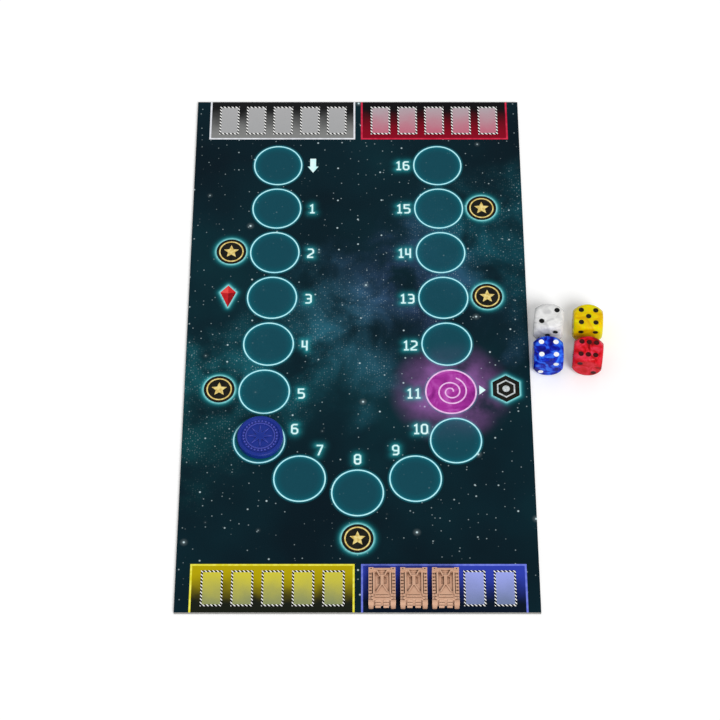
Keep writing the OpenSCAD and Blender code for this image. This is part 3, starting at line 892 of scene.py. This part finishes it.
def moulded(name, deep, body, pale, edge, roughness, gloss, reach, edge_wear_and_highlight_reach):
    """Moulded plastic with a faint grain from the mould, painted shade in its recesses and paler edges that
    are partly wear and partly painted highlight.
    """
    shader = Shader(name)
    place = shader.place()

    def occlusion(distance, inside):
        made = shader.add("AmbientOcclusion", {"Distance": distance * MM},
                          samples=EDGE_SAMPLES, inside=inside)
        return made.outputs["AO"]

    flow = shader.noise(place, 6.0, detail=3.0, distortion=0.8)
    grain = shader.noise(place, 0.3, detail=3.0)
    colour = shader.mix(shader.fade(flow, 0.3, 0.7, high=0.35), body, pale)
    # Painted shade: the deep tone where ambient occlusion finds a recess.
    colour = shader.mix(shader.fade(occlusion(reach, False), 0.85, 0.25, high=0.85), colour, deep)
    # Paler edges, partly wear and partly a painted highlight where the relief would catch light.
    colour = shader.mix(shader.fade(occlusion(edge_wear_and_highlight_reach, True), 0.75, 0.3, high=0.6), colour, edge)
    return shader.surface(
        Base_Color=colour,
        Roughness=shader.fade(grain, 0.3, 0.7, low=roughness, high=roughness + 0.12),
        Specular_IOR_Level=gloss,
        Normal=shader.bump(grain, strength=0.12, depth=0.03))


def marbled(name, stops, size, swirl, scatter):
    """Polished cast acrylic with veins of other tones."""
    shader = Shader(name)
    place = shader.place()
    drift = shader.noise(place, 2.0 * size, detail=1.0, distortion=swirl)
    veins = shader.noise(place, size, detail=2.2, distortion=swirl)
    blend = shader.math("ADD", shader.math("MULTIPLY", veins, 0.6), shader.math("MULTIPLY", drift, 0.4))
    scuffs = shader.noise(place, 1.5, detail=4.0)
    soft_edges = shader.add("Bevel", {"Radius": DIE_EDGE_R * MM}, samples=EDGE_SAMPLES).outputs[0]
    return shader.surface(
        Base_Color=shader.ramp(blend, stops),
        Roughness=shader.fade(scuffs, 0.4, 0.8, low=0.12, high=0.22),
        Specular_IOR_Level=0.1,
        Subsurface_Weight=scatter,
        Subsurface_Radius=(1.0, 1.0, 1.0),
        Subsurface_Scale=DIE_SCATTER_DEPTH * scatter * MM,
        Normal=soft_edges)


def enamel(name, low, high):
    """Paint that dried in a pip, a little uneven."""
    shader = Shader(name)
    brush = shader.noise(shader.place(), 0.7, detail=3.0)
    return shader.surface(
        Base_Color=shader.ramp(brush, [(0.35, low), (0.65, high)]),
        Roughness=shader.fade(brush, 0.3, 0.7, low=0.35, high=0.5),
        Specular_IOR_Level=0.12,
        Normal=shader.bump(brush, strength=0.2, depth=0.05))


def finish_cad_pieces():
    finish("board_core", greyboard())
    finish("board_back_sheet", liner())
    finish("scoring_disc", moulded("disc_blue_plastic", **DISC_PLASTIC))
    tan = moulded("tank_tan_plastic", **TANK_PLASTIC)
    for i in (1, 2, 3):
        finish(f"tank_{i}", tan)
    for name, die in DICE.items():
        acrylic = marbled(f"{name}_acrylic", die["stops"], die["size"], die["swirl"], die["scatter"])
        finish(f"die_{name}", acrylic)
        finish(f"die_{name}_pips", enamel(*die["paint"]))


# Stage: white surface, soft light from the near right and the photograph's camera.
# Lengths are in millimetres and angles in degrees, and KEY_FROM only gives a direction.

CAMERA_TARGET = Vector((1.3, -13.5, 2.0))
CAMERA_DISTANCE = 1210.7
CAMERA_ELEVATION = 58.38
CAMERA_LENS = 110.67
FLOOR_HALF = 3000.0
FLOOR_DROP = 0.05
FLOOR_LIFT = 0.12
FLOOR_SEEN = 0.95
FLOOR_BOUNCE = 0.45
WORLD_STRENGTH = 0.5
KEY_STRENGTH = 2.1
KEY_ANGLE = 26.0
KEY_FROM = Vector((0.45, -1.0, 1.1))


def seen_directly(tree):
    """1 for rays that show the stage, to the camera or in a gloss or glass, and 0 for rays of light."""
    path = tree.nodes.new("ShaderNodeLightPath")
    seen = path.outputs["Is Camera Ray"]
    for name in ("Is Glossy Ray", "Is Transmission Ray"):
        either = tree.nodes.new("ShaderNodeMath")
        either.operation = "MAXIMUM"
        tree.links.new(seen, either.inputs[0])
        tree.links.new(path.outputs[name], either.inputs[1])
        seen = either.outputs[0]
    return seen


def floor():
    """White surface that takes the shadows, shows as white and throws back less light than it shows."""
    shader = Shader("stage_white")
    tree = shader.tree
    seen = seen_directly(tree)
    lift = shader.math("MULTIPLY", seen, FLOOR_LIFT)
    tone = shader.mix(seen, grey(FLOOR_BOUNCE), grey(FLOOR_SEEN))
    light = shader.add("Emission", {"Color": grey(1.0), "Strength": lift})
    ground = shader.add("BsdfDiffuse", {"Color": tone})
    both = shader.add("AddShader", {0: ground.outputs[0], 1: light.outputs[0]})
    tree.links.new(both.outputs[0], tree.nodes["Material Output"].inputs["Surface"])
    mesh = bpy.data.meshes.new("stage_floor")
    s, z = FLOOR_HALF * MM, -FLOOR_DROP * MM
    mesh.from_pydata([(-s, -s, z), (s, -s, z), (s, s, z), (-s, s, z)], [], [(0, 1, 2, 3)])
    mesh.materials.append(shader.material)
    plane = bpy.data.objects.new("stage_floor", mesh)
    bpy.context.scene.collection.objects.link(plane)


def world():
    """Even light all round, which shows as plain white where it is seen."""
    made = bpy.data.worlds.new("studio")
    made.use_nodes = True
    tree = made.node_tree
    light = tree.nodes["Background"]
    light.inputs["Color"].default_value = grey(1.0)
    light.inputs["Strength"].default_value = WORLD_STRENGTH
    white = tree.nodes.new("ShaderNodeBackground")
    white.inputs["Color"].default_value = grey(1.0)
    choice = tree.nodes.new("ShaderNodeMixShader")
    tree.links.new(seen_directly(tree), choice.inputs[0])
    tree.links.new(light.outputs[0], choice.inputs[1])
    tree.links.new(white.outputs[0], choice.inputs[2])
    tree.links.new(choice.outputs[0], tree.nodes["World Output"].inputs["Surface"])
    bpy.context.scene.world = made


def key_light():
    lamp = bpy.data.lights.new("key", "SUN")
    lamp.energy = KEY_STRENGTH
    lamp.angle = math.radians(KEY_ANGLE)
    made = bpy.data.objects.new("key", lamp)
    made.location = KEY_FROM
    made.rotation_euler = KEY_FROM.to_track_quat("Z", "Y").to_euler()
    bpy.context.scene.collection.objects.link(made)


def camera():
    lens = bpy.data.cameras.new("camera")
    lens.lens = CAMERA_LENS
    made = bpy.data.objects.new("camera", lens)
    rise = math.radians(CAMERA_ELEVATION)
    back = Vector((0, -math.cos(rise), math.sin(rise)))
    made.location = (CAMERA_TARGET + back * CAMERA_DISTANCE) * MM
    made.rotation_euler = back.to_track_quat("Z", "Y").to_euler()
    bpy.context.scene.collection.objects.link(made)
    bpy.context.scene.camera = made


printed_sheet()
printed_track()
printed_icons()
printed_bays()
finish_cad_pieces()
floor()
world()
key_light()
camera()
bpy.context.scene.view_settings.view_transform = "Standard"
